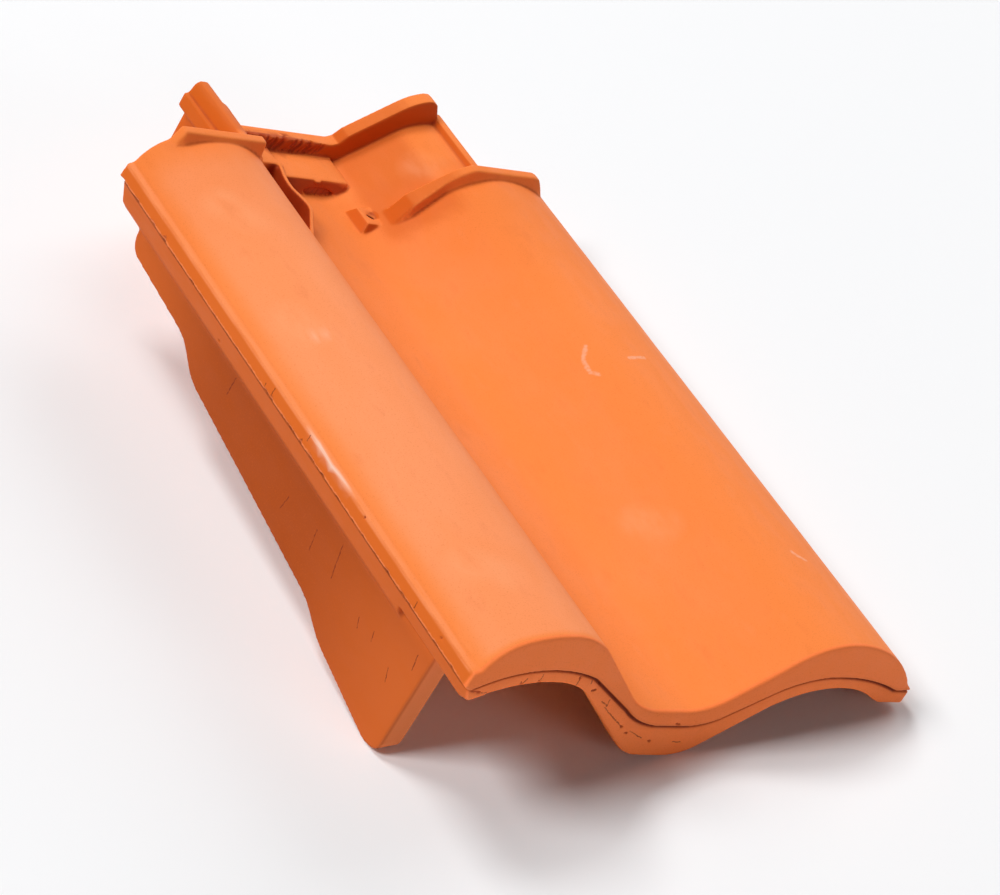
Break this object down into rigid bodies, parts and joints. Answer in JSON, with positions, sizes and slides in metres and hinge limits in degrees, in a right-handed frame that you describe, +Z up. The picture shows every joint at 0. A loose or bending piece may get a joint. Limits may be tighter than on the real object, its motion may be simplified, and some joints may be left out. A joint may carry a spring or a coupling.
{
  "type": "verge roof tile",
  "caption": "Left-hand clay verge tile: two rolls and a trough, a stepped flap that hangs over the gable wall, a grooved eave nose and a narrower head deck that the next tile covers.",
  "frame": {"origin": "on the floor under the middle of the tile's box, as the tile lies on its flap, trough foot and nib", "axes": "+Y from the eave nose to the head rim, +X from the flap to the right roll, +Z up; the tile's own top leans 13.8 degrees to the right about Y, as it lies unheld"},
  "size_m": [0.3142, 0.467, 0.1164],
  "materials": {
    "fired_clay": "matt unglazed orange-red fired clay"
  },
  "bodies": {
    "root": {"verge_tile": "fired_clay"}
  },
  "joints": []
}
